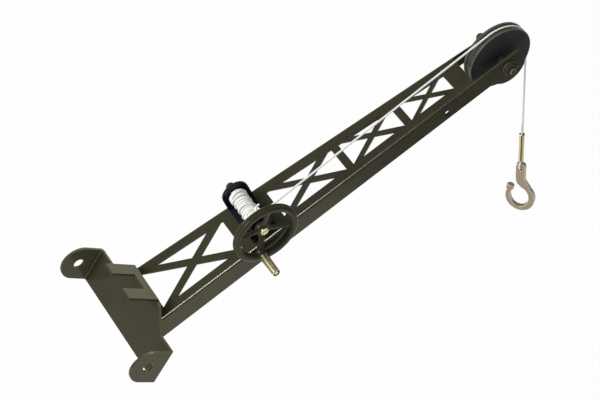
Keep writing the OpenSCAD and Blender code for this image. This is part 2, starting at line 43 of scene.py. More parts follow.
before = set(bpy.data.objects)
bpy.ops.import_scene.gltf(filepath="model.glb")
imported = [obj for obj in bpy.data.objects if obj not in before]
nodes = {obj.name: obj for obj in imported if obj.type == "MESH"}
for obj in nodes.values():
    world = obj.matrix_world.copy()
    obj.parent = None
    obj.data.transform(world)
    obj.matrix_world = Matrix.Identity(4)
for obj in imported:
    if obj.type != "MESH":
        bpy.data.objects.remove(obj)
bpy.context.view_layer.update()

# Camera, matched to the photograph, whose image is 600 by 400

CAMERA_PLACE = Vector((-170.218, -584.859, 803.196)) * MM
CAMERA_RIGHT = Vector((0.858739, -0.508446, -0.063639))
CAMERA_AHEAD = Vector((0.281708, 0.572193, -0.770218))
FOCAL_PIXELS = 1880.384
IMAGE_WIDTH = 600
SENSOR = 36.0


def make_camera():
    """The camera at its place, turned by the directions ahead of it and to its right."""
    data = bpy.data.cameras.new("photo_camera")
    data.sensor_width = SENSOR
    data.lens = SENSOR * FOCAL_PIXELS / IMAGE_WIDTH
    data.clip_start = 0.05
    data.clip_end = 20.0
    camera = bpy.data.objects.new("photo_camera", data)
    bpy.context.scene.collection.objects.link(camera)
    back = -CAMERA_AHEAD.normalized()
    right = CAMERA_RIGHT.normalized()
    up = back.cross(right).normalized()
    turn = Matrix((right, up, back)).transposed().to_4x4()
    camera.matrix_world = Matrix.Translation(CAMERA_PLACE) @ turn
    bpy.context.scene.camera = camera


make_camera()

# Sizes in millimetres and angles in radians, the same as in the part's source

JIB_RISE = math.radians(15)
PLATE_LEAN = math.radians(36)
# The pivot hole's middle: up the base plate from the web, and off the plate
EAR_MID = -7.2
EAR_REACH = 10.2
# The axles of the winch and the sheave, in the jib frame
WINCH = Vector((79, 0, 11))
AXLE = Vector((240, 0, -7))
HANDLE_DIR = math.radians(240)
HANDLE_THROW = 15.2
WHEEL_R = 19.3
RIM_W = 4.0
RIM_T = 4.0
SHEAVE_R = 19.8
GROOVE_DEPTH = 1.4
# The drum's core is a cone, thicker at its near end
DRUM_W = 22.7
CORE_NEAR_R = 3.5
CORE_FAR_R = 2.9
CORD_R = 0.6
AIR = 0.35
HANG_LEN = 77
FERRULE_LEN = 23.5
FERRULE_R = 1.65
TAIL_LEN = 9
HOOK_T = 2.8
EYE_WALL = 3.2
HOOK_TURN = math.radians(-51)

# The string's way: radii round the drum and the sheave, the pull between them, and the loop

LEAD_R = CORE_NEAR_R + AIR + CORD_R
LEAD_Y = -DRUM_W / 2
OVER_R = SHEAVE_R - GROOVE_DEPTH + CORD_R + AIR
PULL_GAP = AXLE - WINCH
PULL = math.atan2(PULL_GAP.z, PULL_GAP.x) + math.asin((OVER_R - LEAD_R) / PULL_GAP.length)
LEG = CORD_R + 0.08
LOOP_R = math.hypot(HOOK_T / 2, EYE_WALL / 2) + CORD_R + 0.15
LOOP_DROP = 1.25 * LOOP_R

# Places. The part's frame has its origin on the pivot axis, and the jib frame lies on the web

PIVOT = Matrix.Rotation(-PLATE_LEAN, 3, "Y") @ Vector((EAR_MID, 0, EAR_REACH))


def in_frame(p):
    """A point of the jib frame, in millimetres, as a point of the part's frame, in metres."""
    q = Vector(p) - PIVOT
    c, s = math.cos(JIB_RISE), math.sin(JIB_RISE)
    return Vector((q.x * c - q.z * s, q.y, q.x * s + q.z * c)) * MM


def frame_matrix(p):
    """The jib frame in metres with its origin at a point of it in millimetres."""
    return Matrix.Translation(in_frame(p)) @ Matrix.Rotation(-JIB_RISE, 4, "Y")


def polar(r, a, y=0.0):
    """A point at a radius and an angle round the y axis, counted from x towards z."""
    return Vector((r * math.cos(a), y, r * math.sin(a)))


HANDLE = in_frame(WINCH + polar(HANDLE_THROW, HANDLE_DIR))
SHEAVE_AXLE = in_frame(AXLE)
AT_WINCH = frame_matrix(WINCH)
HANG_TOP = SHEAVE_AXLE + Vector((OVER_R, 0, -0.05)) * MM
FERRULE_TOP = Vector((HANG_TOP.x, 0, SHEAVE_AXLE.z - HANG_LEN * MM))
AT_FERRULE = (
    Matrix.Translation(FERRULE_TOP)
    @ Matrix.Rotation(HOOK_TURN, 4, "Z")
    @ Matrix.Translation((0, -LEG * MM, 0))
)

# Materials

EDGE = "rounded_edge"


class Nodes:
    """A material's node tree, with short calls for the nodes that repeat."""

    def __init__(self, name):
        self.material = bpy.data.materials.new(name)
        self.material.use_nodes = True
        self.tree = self.material.node_tree
        self.shader = self.tree.nodes["Principled BSDF"]
        self.where = self.add("ShaderNodeTexCoord").outputs["Object"]

    def add(self, kind, **settings):
        node = self.tree.nodes.new(kind)
        for key, value in settings.items():
            setattr(node, key, value)
        return node

    def link(self, a, b):
        self.tree.links.new(a, b)

    def stretched(self, scale):
        """The place on the piece, scaled along each axis."""
        node = self.add("ShaderNodeMapping")
        node.inputs["Scale"].default_value = scale
        self.link(self.where, node.inputs["Vector"])
        return node.outputs["Vector"]

    def noise(self, scale, detail=3.0, rough=0.55, where=None):
        node = self.add("ShaderNodeTexNoise")
        node.inputs["Scale"].default_value = scale
        node.inputs["Detail"].default_value = detail
        node.inputs["Roughness"].default_value = rough
        self.link(where or self.where, node.inputs["Vector"])
        return node.outputs["Fac"]

    def calculate(self, operation, a, b):
        node = self.add("ShaderNodeMath", operation=operation)
        for socket, value in zip(node.inputs, (a, b)):
            if isinstance(value, float):
                socket.default_value = value
            else:
                self.link(value, socket)
        return node.outputs[0]

    def base_colour(self):
        """What is linked to the shader's colour so far."""
        return self.shader.inputs["Base Color"].links[0].from_socket

    def rounded_edge(self):
        """1 on the faces that round off an edge, 0 elsewhere."""
        return self.add("ShaderNodeAttribute", attribute_name=EDGE).outputs["Fac"]

    def flat_face(self):
        """0 on the faces that round off an edge, 1 elsewhere."""
        return self.calculate("SUBTRACT", 1.0, self.rounded_edge())

    def turned_from(self, axis):
        """0 on faces square to a direction, 1 on faces along it."""
        dot = self.add("ShaderNodeVectorMath", operation="DOT_PRODUCT")
        dot.inputs[1].default_value = axis
        self.link(self.add("ShaderNodeNewGeometry").outputs["Normal"], dot.inputs[0])
        size = self.calculate("ABSOLUTE", dot.outputs["Value"], 0.0)
        return self.ramp(size, (0.2, 1.0), (0.6, 0.0))

    def off_axis(self, point):
        """Distance from the line along y through a point."""
        shifted = self.add("ShaderNodeVectorMath", operation="SUBTRACT")
        shifted.inputs[1].default_value = point
        self.link(self.where, shifted.inputs[0])
        flat = self.add("ShaderNodeVectorMath", operation="MULTIPLY")
        flat.inputs[1].default_value = (1, 0, 1)
        self.link(shifted.outputs[0], flat.inputs[0])
        length = self.add("ShaderNodeVectorMath", operation="LENGTH")
        self.link(flat.outputs[0], length.inputs[0])
        return length.outputs["Value"]

    def ramp(self, value, first, last):
        """A grey that runs with a value, from one (value, grey) pair to the other."""
        node = self.add("ShaderNodeValToRGB")
        for element, (at, grey) in zip(node.color_ramp.elements, (first, last)):
            element.position = at
            element.color = (grey, grey, grey, 1)
        self.link(value, node.inputs["Fac"])
        return node.outputs["Color"]

    def mix(self, share, a, b):
        """Colour a where the share is 0 and colour b where it is 1."""
        node = self.add("ShaderNodeMix", data_type="RGBA")
        # A mix node has its two colours at inputs 6 and 7, and the mixed one at output 2
        for socket, value in ((node.inputs[6], a), (node.inputs[7], b)):
            if isinstance(value, tuple):
                socket.default_value = (*value, 1)
            else:
                self.link(value, socket)
        self.link(share, node.inputs[0])
        return node.outputs[2]

    def bump(self, height, strength, distance, under=None):
        node = self.add("ShaderNodeBump")
        node.inputs["Strength"].default_value = strength
        node.inputs["Distance"].default_value = distance
        self.link(height, node.inputs["Height"])
        if under is not None:
            self.link(under, node.inputs["Normal"])
        return node.outputs["Normal"]

    def set(self, **values):
        """Gives the shader's inputs a number, a colour or a link each."""
        for key, value in values.items():
            socket = self.shader.inputs[key.replace("_", " ")]
            if isinstance(value, float):
                socket.default_value = value
            elif isinstance(value, tuple):
                socket.default_value = (*value, 1)
            else:
                self.link(value, socket)


def srgb(r, g, b):
    """A colour given in 0 to 255, as Blender's linear values."""
    return tuple(
        v / 12.92 if v <= 0.04045 else ((v + 0.055) / 1.055) ** 2.4
        for v in (r / 255, g / 255, b / 255)
    )


# Enamels: the base, its lighter mottling and its dust, then the tint of what they reflect

OLIVE_TONES = srgb(51, 49, 37), srgb(58, 56, 43), srgb(82, 80, 67)
BLACK_TONES = srgb(56, 55, 58), srgb(63, 62, 65), srgb(90, 90, 96)
NAVY_TONES = srgb(22, 23, 30), srgb(28, 29, 38), srgb(54, 54, 64)
OLIVE_TINT = (1.0, 0.97, 0.5)
BLACK_TINT = (0.8, 0.86, 1.0)

# Metals: the base, its tarnish and a painted highlight for its rounded edges

BRASS_TONES = srgb(230, 220, 178), srgb(186, 170, 122), srgb(244, 238, 212)
STEEL_TONES = srgb(178, 176, 170), srgb(120, 116, 108), srgb(214, 212, 206)
NICKEL_TONES = srgb(165, 150, 126), srgb(146, 134, 110), srgb(250, 240, 222)
TUBE_TONES = srgb(222, 208, 164), srgb(176, 160, 116), srgb(244, 234, 200)
SEAM_TONES = srgb(104, 90, 52), srgb(78, 66, 36), srgb(104, 90, 52)


def enamel(name, tones, edge, edge_highlight_share=0.3, tint=OLIVE_TINT):
    """Sprayed enamel: faint mottling, orange peel, a little dust, and a painted highlight in
    patches on the rounded edges.
    """
    base, light, dust = tones
    n = Nodes(name)
    mottle = n.ramp(n.noise(26, detail=4, rough=0.6), (0.35, 0.0), (0.7, 1.0))
    specks = n.ramp(n.noise(1700, detail=2, rough=0.5), (0.7, 0.0), (0.76, 0.6))
    colour = n.mix(specks, n.mix(mottle, base, light), dust)
    # Painted highlight: the edge colour in patches on the faces that round off an edge
    highlight_patches = n.ramp(n.noise(150, rough=0.6), (0.3, 0.45 * edge_highlight_share), (0.7, edge_highlight_share))
    painted_edge_highlight = n.calculate("MULTIPLY", n.rounded_edge(), highlight_patches)
    peel = n.calculate("MULTIPLY", n.noise(900, detail=1, rough=0.4), n.flat_face())
    waves = n.calculate("MULTIPLY", n.noise(45, detail=1), n.flat_face())
    n.set(
        Base_Color=n.mix(painted_edge_highlight, colour, edge),
        Roughness=n.ramp(n.noise(120), (0.3, 0.2), (0.75, 0.26)),
        Normal=n.bump(waves, 0.04, 0.002, under=n.bump(peel, 0.02, 0.0002)),
        Specular_IOR_Level=0.2,
        Specular_Tint=tint,
    )
    return n


def bare_metal(name, tones, rough, streak=(40, 4000, 40), tarnish=0.5, patch=350):
    """Bare metal with fine tool marks, dull patches and a painted highlight on its rounded
    edges. streak says how closely the marks repeat along x, y and z."""
    base, dull, edge = tones
    n = Nodes(name)
    marks = n.noise(1, rough=0.7, where=n.stretched(streak))
    patches = n.ramp(n.noise(patch, detail=4, rough=0.65), (0.35, 0.0), (0.75, tarnish))
    n.set(
        # The third tone is a painted highlight on the rounded edges
        Base_Color=n.mix(n.rounded_edge(), n.mix(patches, base, dull), edge),
        Metallic=1.0,
        Roughness=n.ramp(marks, (0.3, rough), (0.7, rough + 0.16)),
        Normal=n.bump(marks, 0.06, 0.0001),
    )
    return n


def handle_brass(name, operation, radius):
    """Turned brass with painted shade inside or outside a radius from the handle's axis, where
    the gap between the sleeve and the pin is.
    """
    n = bare_metal(name, BRASS_TONES, 0.2, streak=(900, 60, 900), tarnish=0.3, patch=90)
    gap_shade = n.calculate(operation, n.off_axis(HANDLE), radius * MM)
    # Painted shade: a dark ring where the gap between the sleeve and the pin is
    n.set(Base_Color=n.mix(gap_shade, n.base_colour(), srgb(58, 50, 30)))
    return n


def plate_nickel():
    """Dull nickel whose sides, across its thickness, get a greyer tone than its faces: painted
    shade.
    """
    n = bare_metal("dull_nickel", NICKEL_TONES, 0.32, streak=(300, 300, 300))
    faces = n.base_colour()
    mottle = n.ramp(n.noise(420), (0.3, 0.0), (0.7, 1.0))
    # Painted shade: a greyer tone on the faces along the plate's thickness
    sides = n.mix(mottle, srgb(150, 150, 134), srgb(168, 164, 146))
    across = AT_FERRULE.to_3x3() @ Vector((0, 1, 0))
    share = n.calculate("MULTIPLY", n.turned_from(across), n.flat_face())
    n.set(Base_Color=n.mix(share, faces, sides))
    return n


def string_cotton():
    """White twisted string with soft fibres."""
    n = Nodes("white_string")
    fibres = n.noise(5200, rough=0.7)
    shade = n.ramp(fibres, (0.3, 0.0), (0.7, 1.0))
    n.set(
        Base_Color=n.mix(shade, srgb(244, 244, 240), srgb(252, 252, 249)),
        Roughness=0.85,
        Sheen_Weight=0.3,
        Sheen_Roughness=0.5,
        Normal=n.bump(fibres, 0.16, 0.0002),
    )
    return n


def sheave_enamel():
    """Black enamel on the sheave's faces, olive on its two rims, with a painted highlight on the
    rounded edges.
    """
    n = enamel("sheave_enamel", BLACK_TONES, srgb(126, 122, 100), edge_highlight_share=0.7, tint=BLACK_TINT)
    face = n.base_colour()
    rim = n.calculate("GREATER_THAN", n.off_axis(SHEAVE_AXLE), (SHEAVE_R - 0.35) * MM)
    mottle = n.ramp(n.noise(300), (0.3, 0.0), (0.7, 1.0))
    olive = n.mix(mottle, OLIVE_TONES[0], OLIVE_TONES[1])
    # Painted highlight on the rims' rounded edges
    edge = n.calculate("MULTIPLY", n.rounded_edge(), 0.6)
    n.set(Base_Color=n.mix(rim, face, n.mix(edge, olive, srgb(140, 136, 112))))
    return n


# Each enamel's edge colour is a painted highlight on its rounded edges, brightest on the fixings
OLIVE = enamel("olive_black_enamel", OLIVE_TONES, srgb(108, 104, 86)).material
FIXING = enamel("fixing_enamel_edge_highlight", OLIVE_TONES, srgb(152, 150, 134), edge_highlight_share=0.85).material
BLACK = enamel(
    "black_enamel", BLACK_TONES, srgb(92, 92, 96), edge_highlight_share=0.4, tint=BLACK_TINT
).material
NAVY = enamel(
    "blue_black_enamel", NAVY_TONES, srgb(84, 86, 104), edge_highlight_share=0.5, tint=BLACK_TINT
).material
SHEAVE = sheave_enamel().material
BRASS = bare_metal("turned_brass", BRASS_TONES, 0.2, tarnish=0.35, patch=120).material
SLEEVE = handle_brass("handle_brass", "LESS_THAN", 1.95).material
PIN = handle_brass("pin_brass", "GREATER_THAN", 1.1).material
STEEL = bare_metal("turned_steel", STEEL_TONES, 0.26).material
NICKEL = plate_nickel().material
TUBE = bare_metal("drawn_tube", TUBE_TONES, 0.24, streak=(900, 900, 60)).material
SEAM = bare_metal("dark_seam", SEAM_TONES, 0.45, streak=(900, 900, 60)).material
STRING = string_cotton().material

# Pieces

# A softened piece is shaded smooth across edges flatter than this many degrees
SMOOTH_BELOW = 40


def paint(mesh, material):
    mesh.materials.clear()
    mesh.materials.append(material)


def add_piece(name, mesh, body, material, replaced=()):
    """A finished piece in the scene, its place in its mesh. With no body it is left unattached.
    """
    obj = bpy.data.objects.new(name, mesh)
    bpy.context.scene.collection.objects.link(obj)
    paint(mesh, material)
    if body:
        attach(obj, body)
    if replaced:
        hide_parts(*replaced)
    return obj


def smooth_by_angle(mesh, degrees):
    mesh.shade_smooth()
    mesh.set_sharp_from_angle(angle=math.radians(degrees))


def softened(node, width, body, material, angle=32, segments=2):
    """A CAD node with its sharp edges rounded off, which stands for the node."""
    bm = bmesh.new()
    bm.from_mesh(nodes[node].data)
    edge = bm.faces.layers.float.new(EDGE)
    bmesh.ops.remove_doubles(bm, verts=bm.verts, dist=0.004 * MM)
    bmesh.ops.dissolve_limit(
        bm,
        angle_limit=math.radians(0.6),
        use_dissolve_boundaries=False,
        verts=bm.verts,
        edges=bm.edges,
    )
    sharp = [
        e
        for e in bm.edges
        if len(e.link_faces) == 2 and e.calc_face_angle(0) > math.radians(angle)
    ]
    rounded = bmesh.ops.bevel(
        bm,
        geom=sharp,
        offset=width * MM,
        offset_type="OFFSET",
        affect="EDGES",
        segments=segments,
        profile=0.5,
        material=-1,
        clamp_overlap=True,
    )["faces"]
    for face in rounded:
        face[edge] = 1.0
    mesh = bpy.data.meshes.new(node + "_shaped")
    bm.to_mesh(mesh)
    bm.free()
    smooth_by_angle(mesh, SMOOTH_BELOW)
    piece = add_piece(node + "_shaped", mesh, body, material, [node])
    even = piece.modifiers.new("even_faces", "WEIGHTED_NORMAL")
    even.keep_sharp = True
    even.weight = 100
    return piece


channel = softened("jib_channel", 0.22, "jib", OLIVE)
bracket = softened("base_bracket", 0.22, "jib", OLIVE)
softened("winch_bracket", 0.2, "jib", NAVY)
softened("sheave_nut", 0.2, "jib", FIXING, angle=25)
softened("sheave_washers", 0.16, "jib", FIXING)
softened("sheave_cap", 0.25, "jib", OLIVE)
softened("sheave", 0.28, "sheave", SHEAVE, segments=3)
softened("axle_cap", 0.3, "winch", OLIVE)
softened("wheel_screw", 0.22, "winch", BRASS, segments=3)
softened("handle_sleeve", 0.3, "handle", SLEEVE, segments=3)
softened("handle_pin", 0.2, "winch", PIN)
softened("sheave_bolt", 0.2, "jib", FIXING)
softened("hook", 0.6, "hook", NICKEL, angle=40, segments=3)

# CAD nodes that are shown as they are

for name, material in {
    "base_weld": OLIVE,
    "winch_rivets": OLIVE,
    "cap_washer": OLIVE,
    "axle_bush": OLIVE,
    "winch_axle": STEEL,
    "cord_core": STRING,
    "sheave_spacers": BLACK,
}.items():
    paint(nodes[name].data, material)

# Turned and lofted pieces


def turned(bm, outline, axis, place, steps, sweep=math.tau):
    """A closed outline of (radius, height) points in millimetres, swung round its y or z axis."""
    before = set(bm.verts)
    points = [(r, h, 0) if axis == "Y" else (r, 0, h) for r, h in outline]
    verts = [bm.verts.new(Vector(p) * MM) for p in points]
    edges = [bm.edges.new(pair) for pair in zip(verts, verts[1:] + verts[:1])]
    bmesh.ops.spin(
        bm,
        geom=verts + edges,
        cent=(0, 0, 0),
        axis=(0, 1, 0) if axis == "Y" else (0, 0, 1),
        angle=sweep,
        steps=steps,
        use_merge=sweep == math.tau,
    )
    fresh = [v for v in bm.verts if v not in before]
    bmesh.ops.transform(bm, matrix=place, verts=fresh)


def lofted(bm, sections, place, sides=20):
    """Ovals of (x, y, half height, half thickness) along x, joined and capped."""
    rings = []
    for x, y, high, thick in sections:
        made = bmesh.ops.create_circle(bm, cap_ends=False, segments=sides, radius=1.0)["verts"]
        oval = Matrix(
            ((0, 0, MM, x * MM), (thick * MM, 0, 0, y * MM), (0, high * MM, 0, 0), (0, 0, 0, 1))
        )
        bmesh.ops.transform(bm, matrix=place @ oval, verts=made)
        rings.append(list({e for v in made for e in v.link_edges}))
    for a, b in zip(rings, rings[1:]):
        bmesh.ops.bridge_loops(bm, edges=a + b)
    for ring in (rings[0], rings[-1]):
        bmesh.ops.contextual_create(bm, geom=ring)


def finished(bm, name, smooth_below=35):
    """A closed mesh with its faces turned outwards and its smooth edges shaded."""
    bmesh.ops.remove_doubles(bm, verts=bm.verts, dist=0.002 * MM)
    bmesh.ops.recalc_face_normals(bm, faces=bm.faces)
    mesh = bpy.data.meshes.new(name)
    bm.to_mesh(mesh)
    bm.free()
    smooth_by_angle(mesh, smooth_below)
    return mesh


# Handwheel: a round grooved rim, a hub, four spokes that swell into both, and the boss

WHEEL_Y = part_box("handwheel")[0].y / MM + RIM_W
RIM_POINTS = 28
RIM_FULLNESS = 0.62
RIM_GROOVE = 0.75
GROOVE_REACH = 0.62
HUB_R = 4.4
HUB_W = 2.6
HUB_BORE = 2.02
SPOKES = 4
SPOKE_HALF_W = 1.72
SPOKE_HALF_T = 0.98
SPOKE_ROOT = 1.55
SPOKE_SLOPE = math.tan(math.radians(11))
SPOKE_STATIONS = 2.6, 4.2, 5.2, 6.5, 9, 11.5, 13.6, 14.8, 15.8, 16.6
# A spoke's swellings: how much each adds to half its width, at which radius, and its reach
HUB_SWELL = 0.75, 3.2, 2.0
RIM_SWELL = 1.1, 16.8, 1.9
BOSS_R = 2.7
BOSS_BORE = 1.22


def bell(x, middle, reach):
    """1 at the middle, fading to both sides."""
    return math.exp(-(((x - middle) / reach) ** 2))


def fuller(value):
    """A cosine or sine that stays near its ends for longer, so that it draws a fuller round."""
    return math.copysign(abs(value) ** RIM_FULLNESS, value)


def rim_outline():
    """The rim's section: full and round, with two lips beside the groove in its edge."""
    points = []
    for i in range(RIM_POINTS):
        a = math.tau * i / RIM_POINTS
        r = RIM_T / 2 * fuller(math.cos(a))
        y = RIM_W / 2 * fuller(math.sin(a))
        if r > 0:
            r -= RIM_GROOVE * bell(y, 0, GROOVE_REACH)
        points.append((WHEEL_R - RIM_T / 2 + r, WHEEL_Y - RIM_W / 2 + y))
    return points


def hub_outline():
    out, back = WHEEL_Y, WHEEL_Y + HUB_W
    return [
        (HUB_BORE, back),
        (HUB_R - 0.4, back),
        (HUB_R, back - 0.4),
        (HUB_R, out + 0.7),
        (HUB_R - 0.15, out + 0.3),
        (HUB_R - 0.5, out + 0.05),
        (HUB_R - 0.9, out),
        (HUB_BORE, out),
    ]


def boss_outline():
    out, back = WHEEL_Y - RIM_W + 0.06, WHEEL_Y - 0.4
    return [
        (BOSS_BORE, back),
        (BOSS_R, back),
        (BOSS_R, out + 0.5),
        (BOSS_R - 0.2, out + 0.15),
        (BOSS_R - 0.5, out),
        (BOSS_BORE, out),
    ]


def spoke_sections():
    """Ovals from inside the hub to inside the rim, wider towards both."""
    sections = []
    for r in SPOKE_STATIONS:
        swollen = sum(add * bell(r, at, reach) for add, at, reach in (HUB_SWELL, RIM_SWELL))
        y = WHEEL_Y + SPOKE_ROOT - SPOKE_SLOPE * r
        sections.append((r, y, SPOKE_HALF_W + swollen, SPOKE_HALF_T))
    return sections


def handwheel_mesh():
    bm = bmesh.new()
    turned(bm, rim_outline(), "Y", AT_WINCH, 120)
    turned(bm, hub_outline(), "Y", AT_WINCH, 64)
    for i in range(SPOKES):
        turn = Matrix.Rotation(-HANDLE_DIR - math.tau * i / SPOKES, 4, "Y")
        lofted(bm, spoke_sections(), AT_WINCH @ turn)
    turn = Matrix.Rotation(-HANDLE_DIR, 4, "Y")
    boss_at = AT_WINCH @ turn @ Matrix.Translation((HANDLE_THROW * MM, 0, 0))
    turned(bm, boss_outline(), "Y", boss_at, 48)
    return finished(bm, "handwheel_shaped")


add_piece("handwheel_shaped", handwheel_mesh(), "winch", OLIVE, ["handwheel"])

# Ferrule: a thin tube closed round the string, with its seam left open to the front

SEAM_AT = math.radians(-129)
SEAM_HALF = 0.44
FERRULE_BORE = 1.36
WAIST_R = FERRULE_R - 0.05


def ferrule_mesh():
    """A slit tube, flared a little at both ends, about the string's two legs."""
    lip = [
        (FERRULE_BORE, 0.1),
        (FERRULE_R - 0.15, 0.02),
        (FERRULE_R - 0.01, 0.14),
        (FERRULE_R, 0.5),
        (WAIST_R, 1.4),
    ]
    top = [(r, -depth) for r, depth in lip]
    bottom = [(r, depth - FERRULE_LEN) for r, depth in reversed(lip)]
    half_turn = SEAM_HALF / WAIST_R
    start = Matrix.Rotation(SEAM_AT - HOOK_TURN + half_turn, 4, "Z")
    bm = bmesh.new()
    turned(bm, top + bottom, "Z", AT_FERRULE @ start, 56, math.tau - 2 * half_turn)
    bmesh.ops.holes_fill(bm, edges=[e for e in bm.edges if e.is_boundary], sides=0)
    return finished(bm, "ferrule_shaped")


def seam_mesh():
    """The dark overlap that shows in the ferrule's seam, under the outer tube."""
    out, back = FERRULE_BORE + 0.01, FERRULE_BORE - 0.06
    top, low = -0.5, 0.5 - FERRULE_LEN
    bm = bmesh.new()
    turned(bm, [(back, top), (out, top), (out, low), (back, low)], "Z", AT_FERRULE, 48)
    return finished(bm, "ferrule_seam")


add_piece("ferrule_shaped", ferrule_mesh(), "load", TUBE, ["ferrule"])
add_piece("ferrule_seam", seam_mesh(), "load", SEAM)

# String: every stretch is laid up from three strands

# The length in which the strands go once round, and the distance between the mesh's rings
LAY = 4.6
STEP = 0.36
STRAND_POINTS = 15


def strand_profile(r):
    """The outline of three strands laid together, as a flat curve."""
    data = bpy.data.curves.new("strand_profile", "CURVE")
    data.dimensions = "2D"
    spline = data.splines.new("POLY")
    spline.points.add(STRAND_POINTS - 1)
    for i, point in enumerate(spline.points):
        a = math.tau * i / STRAND_POINTS
        reach = r * (0.965 + 0.035 * math.cos(3 * a))
        point.co = (reach * math.cos(a), reach * math.sin(a), 0, 1)
    spline.use_cyclic_u = True
    return bpy.data.objects.new("strand_profile", data)


def evened(points, step):
    """The same line with its points a steady step apart."""
    out = [points[0].copy()]
    need = step
    for a, b in zip(points, points[1:]):
        span = (b - a).length
        while need <= span:
            out.append(a.lerp(b, need / span))
            need += step
        need -= span
    if (out[-1] - points[-1]).length > 0.3 * step:
        out.append(points[-1].copy())
    return out


def string_mesh(name, routes):
    """One mesh of laid string along each route of points in metres."""
    profile = strand_profile(CORD_R * MM)
    bpy.context.scene.collection.objects.link(profile)
    data = bpy.data.curves.new(name, "CURVE")
    data.dimensions = "3D"
    data.bevel_mode = "OBJECT"
    data.bevel_object = profile
    data.use_fill_caps = True
    data.twist_mode = "MINIMUM"
    for route in routes:
        points = evened(route, STEP * MM)
        spline = data.splines.new("POLY")
        spline.points.add(len(points) - 1)
        for i, (point, p) in enumerate(zip(spline.points, points)):
            point.co = (*p, 1)
            point.tilt = math.tau * i * STEP / LAY
    obj = bpy.data.objects.new(name + "_line", data)
    bpy.context.scene.collection.objects.link(obj)
    bpy.context.view_layer.update()
    graph = bpy.context.evaluated_depsgraph_get()
    swept = bpy.data.meshes.new_from_object(obj.evaluated_get(graph))
    bm = bmesh.new()
    bm.from_mesh(swept)
    bpy.data.meshes.remove(swept)
    bpy.data.objects.remove(obj)
    bpy.data.objects.remove(profile)
    return finished(bm, name, 60)


# The string's run: part of a turn round the drum's core, the pull, and over the sheave

OFF = math.pi / 2 + PULL
WRAP = math.radians(200)
ARC_STEPS = 40
LOOP_STEPS = 32


def arc(centre, r, start, end, y=0.0):
    """Points in millimetres on an arc round an axis along y."""
    turns = [start + (end - start) * i / ARC_STEPS for i in range(ARC_STEPS + 1)]
    return [centre + polar(r, a, y) for a in turns]


def run_route():
    on_core = arc(WINCH, LEAD_R, OFF + WRAP, OFF, LEAD_Y)
    over_sheave = arc(AXLE, OVER_R, OFF, -JIB_RISE)
    return [in_frame(p) for p in on_core + over_sheave]


def drop_route():
    """Down to the ferrule and through it, round the hook's eye and up to the loose end."""
    turn = math.atan(LEG / LOOP_DROP) + math.acos(LOOP_R / math.hypot(LEG, LOOP_DROP))
    low = -FERRULE_LEN - LOOP_DROP
    local = [Vector((0, LEG, -z)) for z in (0, FERRULE_LEN)]
    for i in range(LOOP_STEPS + 1):
        a = math.tau - turn - (math.tau - 2 * turn) * i / LOOP_STEPS
        local.append(Vector((0, -LOOP_R * math.sin(a), low + LOOP_R * math.cos(a))))
    local += [Vector((0, -LEG, z)) for z in (-FERRULE_LEN, 0, TAIL_LEN)]
    return [HANG_TOP] + [AT_FERRULE @ (p * MM) for p in local]


run_mesh = string_mesh("string_run", [run_route()])
add_piece("string_run", run_mesh, "jib", STRING, ["cord_run"])

drop_line = drop_route()
drop_mesh = string_mesh("string_drop", [drop_line])
drop = add_piece("string_drop", drop_mesh, None, STRING, ["cord_hanging", "cord_loop"])
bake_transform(drop)
[tuple(p) for p in evened(drop_line, 0.8 * MM)]

# The string wound on the drum: a regular layer, loose turns that cross it, and a tied end

WOUND_FROM = DRUM_W / 2
WOUND_TO = 1.7 - DRUM_W / 2
UNDER_TURNS = 15
UNDER_START = math.radians(120)
TURN_STEPS = 40
# How far the regular turns stray along the drum and off it, and how often they do so
STRAY_ALONG = 0.24
STRAY_OFF = 0.1
ALONG_WAVES = 17.3
OFF_WAVES = 1.37
# The first lane's angle, the turn from each lane to the next, and its steps, in degrees
LANE_START = 70
LANE_TURN = -290
LANE_STEP = 9
# Each lane's place along the drum, and how far it lies above the regular layer
LANES = [
    (10.6, 0.7), (9.4, 0.95), (10.8, 0.85), (8.2, 0.9), (9.6, 1.15), (6.9, 0.75),
    (4.6, 0.72), (1.0, 0.72), (-2.6, 0.72), (-6.2, 0.75), (-8.6, 0.95), (-7.0, 0.95),
]


def wound_r(y):
    """The radius at which string lies on the core, which is a cone."""
    share = (DRUM_W / 2 - y) / DRUM_W
    return CORE_FAR_R + (CORE_NEAR_R - CORE_FAR_R) * share + CORD_R + 0.04


def at_winch(points):
    return [AT_WINCH @ (p * MM) for p in points]


def under_layer():
    """Turns side by side from the far ear to the near one, wavering a little."""
    route = []
    for i in range(UNDER_TURNS * TURN_STEPS + 1):
        t = i / (UNDER_TURNS * TURN_STEPS)
        stray = STRAY_ALONG * math.sin(ALONG_WAVES * t) * math.sin(math.pi * t)
        y = WOUND_FROM + (WOUND_TO - WOUND_FROM) * t + stray
        a = UNDER_START - math.tau * i / TURN_STEPS
        r = wound_r(y) + 0.06 + STRAY_OFF * math.sin(OFF_WAVES * a)
        route.append(polar(r, a, y))
    return at_winch(route)


def over_turns():
    """Loose turns from lane to lane, out to the far ear and back to the near one."""
    lanes = [
        (math.radians(LANE_START + LANE_TURN * i), y, wound_r(y) + above)
        for i, (y, above) in enumerate(LANES)
    ]
    count = abs(LANE_TURN) // LANE_STEP
    route = []
    for (a0, y0, r0), (a1, y1, r1) in zip(lanes, lanes[1:]):
        for i in range(count):
            t = i / count
            ease = t * t * (3 - 2 * t)
            y = y0 + (y1 - y0) * (0.4 * t + 0.6 * ease)
            route.append(polar(r0 + (r1 - r0) * ease, a0 + (a1 - a0) * t, y))
    a, y, r = lanes[-1]
    route.append(polar(r, a, y))
    return at_winch(route)


